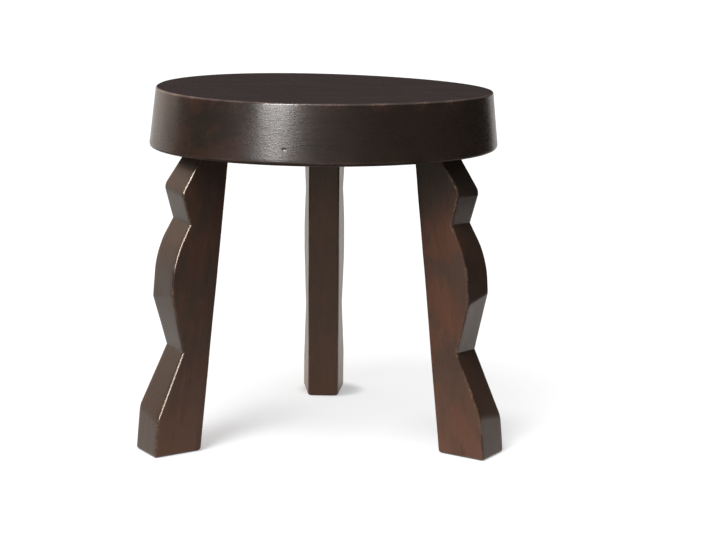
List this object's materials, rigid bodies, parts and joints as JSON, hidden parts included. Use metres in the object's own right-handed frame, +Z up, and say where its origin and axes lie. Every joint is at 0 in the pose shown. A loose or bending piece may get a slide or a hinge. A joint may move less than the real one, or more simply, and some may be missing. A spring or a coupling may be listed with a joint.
{
  "type": "stool",
  "caption": "Low wooden stool with a thick round seat on splayed wedge-shaped legs whose outer faces are carved into zigzag facets; a seat or small side table.",
  "frame": {"origin": "on the floor, in the middle of the stool's outer box; the seat's axis stands 13.8 mm in front of it", "axes": "+Z up, square to the seat's top face; +Y towards the back leg; +X towards the right leg's side"},
  "size_m": [0.4334, 0.4422, 0.42],
  "materials": {
    "stained_wood": "dark brown stain under a satin lacquer",
    "dowel_wood": "plain pale hardwood",
    "felt": "dark pressed felt"
  },
  "bodies": {
    "root": {"seat": "stained_wood", "leg_back": "stained_wood", "leg_left": "stained_wood", "leg_right": "stained_wood", "dowel_back_left": "dowel_wood", "dowel_back_right": "dowel_wood", "dowel_left_left": "dowel_wood", "dowel_left_right": "dowel_wood", "dowel_right_left": "dowel_wood", "dowel_right_right": "dowel_wood", "pad_back": "felt", "pad_left": "felt", "pad_right": "felt"}
  },
  "joints": []
}
